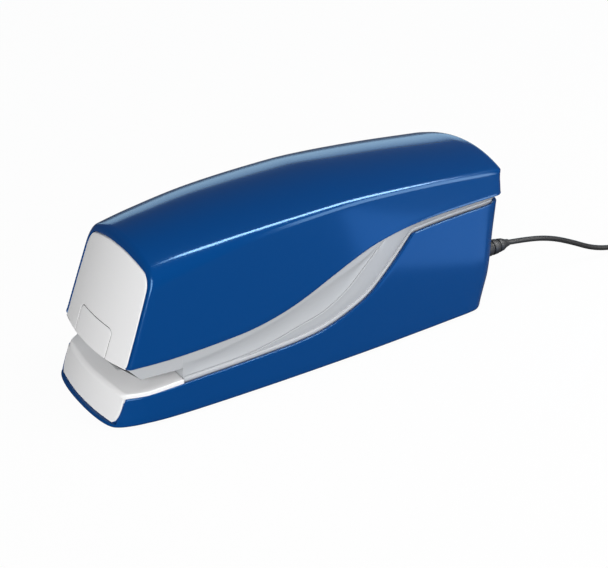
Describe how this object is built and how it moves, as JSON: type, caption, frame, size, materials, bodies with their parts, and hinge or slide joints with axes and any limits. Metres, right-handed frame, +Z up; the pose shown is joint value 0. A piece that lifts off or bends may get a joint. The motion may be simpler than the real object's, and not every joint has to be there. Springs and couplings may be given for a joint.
{
  "type": "electric stapler",
  "caption": "Desk stapler with a motor-driven blade, paper throat, pull-out staple magazine, press-to-release button and plug-in power cord.",
  "frame": {"origin": "on the table, under the middle of the stapler", "axes": "-Y is the front with the paper throat, +X the stapler's left side, +Z up"},
  "size_m": [0.092, 0.4292, 0.0779],
  "materials": {
    "blue_gloss": "gloss moulded ABS, blue",
    "light_grey": "semi-gloss moulded ABS, near white",
    "mid_grey": "fine matte moulded ABS, light grey",
    "black_rubber": "matt soft rubber",
    "plated_steel": "zinc plated sheet steel",
    "bright_steel": "bright ground steel",
    "dark_steel": "blackened spring steel",
    "bronze": "sintered bronze",
    "brass": "brass",
    "white_acetal": "natural acetal",
    "black_plastic": "fine matte black ABS",
    "winding": "varnished laminations and copper winding",
    "board_green": "solder-masked laminate",
    "cord_black": "black PVC sheath"
  },
  "bodies": {
    "case": {"top_cover": "blue_gloss", "front_panel": "light_grey", "base_cover": "blue_gloss", "nose_cap": "light_grey", "anvil_plate": "bright_steel", "body_left": "mid_grey", "body_right": "mid_grey", "head_floor_left": "mid_grey", "head_floor_right": "mid_grey", "rubber_feet": "black_rubber", "base_screws": "plated_steel", "frame_left": "plated_steel", "frame_right": "plated_steel", "frame_spacers": "plated_steel", "drive_bushes": "bronze", "motor_can": "plated_steel", "motor_end_cap": "black_plastic", "gear_axles": "bright_steel", "axle_clips": "dark_steel", "lever_pin": "bright_steel", "magazine_guide": "black_plastic", "latch_pin": "bright_steel", "release_spring": "dark_steel", "sensor_pin": "bright_steel", "paper_switch": "black_plastic", "circuit_board": "board_green", "board_bracket": "plated_steel", "strain_relief": "black_rubber", "power_cord": "cord_black", "cord_coil": "cord_black", "cord_tie": "black_plastic", "cord_tail": "cord_black", "adapter_relief": "black_rubber", "power_adapter": "black_plastic", "adapter_pins": "plated_steel"},
    "magazine": {"magazine_rail": "plated_steel", "magazine_front": "light_grey", "pusher_rod": "bright_steel", "pusher_spring": "dark_steel", "staple_strip": "bright_steel"},
    "pusher": {"staple_pusher": "black_plastic"},
    "driver": {"driver_blade": "bright_steel", "driver_carrier": "black_plastic"},
    "lever": {"drive_lever": "plated_steel", "lever_roller": "bright_steel"},
    "drive": {"drive_gear": "white_acetal", "drive_shaft": "bright_steel", "drive_cam": "plated_steel"},
    "second_gear": {"gear_stage_2": "white_acetal"},
    "first_gear": {"gear_stage_1": "white_acetal"},
    "rotor": {"motor_rotor": "winding", "motor_pinion": "brass"},
    "latch": {"latch_arm": "plated_steel"},
    "button": {"release_button": "black_plastic", "release_slider": "black_plastic"},
    "sensor": {"sensor_lever": "black_plastic"}
  },
  "joints": [
    {"name": "magazine_slide", "type": "slide", "parent": "case", "child": "magazine", "axis": [0, -1, 0], "range_m": [0, 0.08]},
    {"name": "pusher_slide", "type": "slide", "parent": "magazine", "child": "pusher", "axis": [0, 1, 0], "range_m": [0, 0.026], "stiffness_N_per_m": 40, "springref_m": -0.05, "deforming": ["pusher_spring"]},
    {"name": "drive_turn", "type": "hinge", "parent": "case", "child": "drive", "pos_m": [0, 0.034, 0.04], "axis": [1, 0, 0], "range_deg": [-180, 0]},
    {"name": "second_gear_turn", "type": "hinge", "parent": "case", "child": "second_gear", "pos_m": [0.021, 0.05239, 0.02457], "axis": [1, 0, 0], "range_deg": [0, 720]},
    {"name": "first_gear_turn", "type": "hinge", "parent": "case", "child": "first_gear", "pos_m": [0.017, 0.06453, 0.03905], "axis": [1, 0, 0], "range_deg": [-2520, 0]},
    {"name": "rotor_turn", "type": "hinge", "parent": "case", "child": "rotor", "pos_m": [0, 0.07633, 0.03079], "axis": [1, 0, 0], "range_deg": [0, 7560]},
    {"name": "lever_swing", "type": "hinge", "parent": "case", "child": "lever", "pos_m": [0, 0.008, 0.05], "axis": [1, 0, 0], "range_deg": [0, 9.2]},
    {"name": "driver_stroke", "type": "slide", "parent": "case", "child": "driver", "axis": [0, 0, -1], "range_m": [0, 0.0136]},
    {"name": "release_press", "type": "slide", "parent": "case", "child": "button", "axis": [0, -1, 0], "range_m": [0, 0.0025], "stiffness_N_per_m": 400, "springref_m": -0.0012, "deforming": ["release_spring"]},
    {"name": "latch_swing", "type": "hinge", "parent": "case", "child": "latch", "pos_m": [-0.009, 0.0145, 0.04], "axis": [1, 0, 0], "range_deg": [-14.5, 0]},
    {"name": "sensor_swing", "type": "hinge", "parent": "case", "child": "sensor", "pos_m": [0.014, -0.0615, 0.026], "axis": [1, 0, 0], "range_deg": [0, 12], "stiffness_Nm_per_rad": 0.002, "springref_deg": -11.46}
  ],
  "couplings": [
    {"joint": "second_gear_turn", "follows": "drive_turn", "ratio": -4},
    {"joint": "first_gear_turn", "follows": "drive_turn", "ratio": 14},
    {"joint": "rotor_turn", "follows": "drive_turn", "ratio": -42},
    {"joint": "lever_swing", "follows": "drive_turn", "ratio": -0.050833},
    {"joint": "driver_stroke", "follows": "drive_turn", "m_per_rad": -0.0042972},
    {"joint": "latch_swing", "follows": "release_press", "rad_per_m": -100}
  ]
}
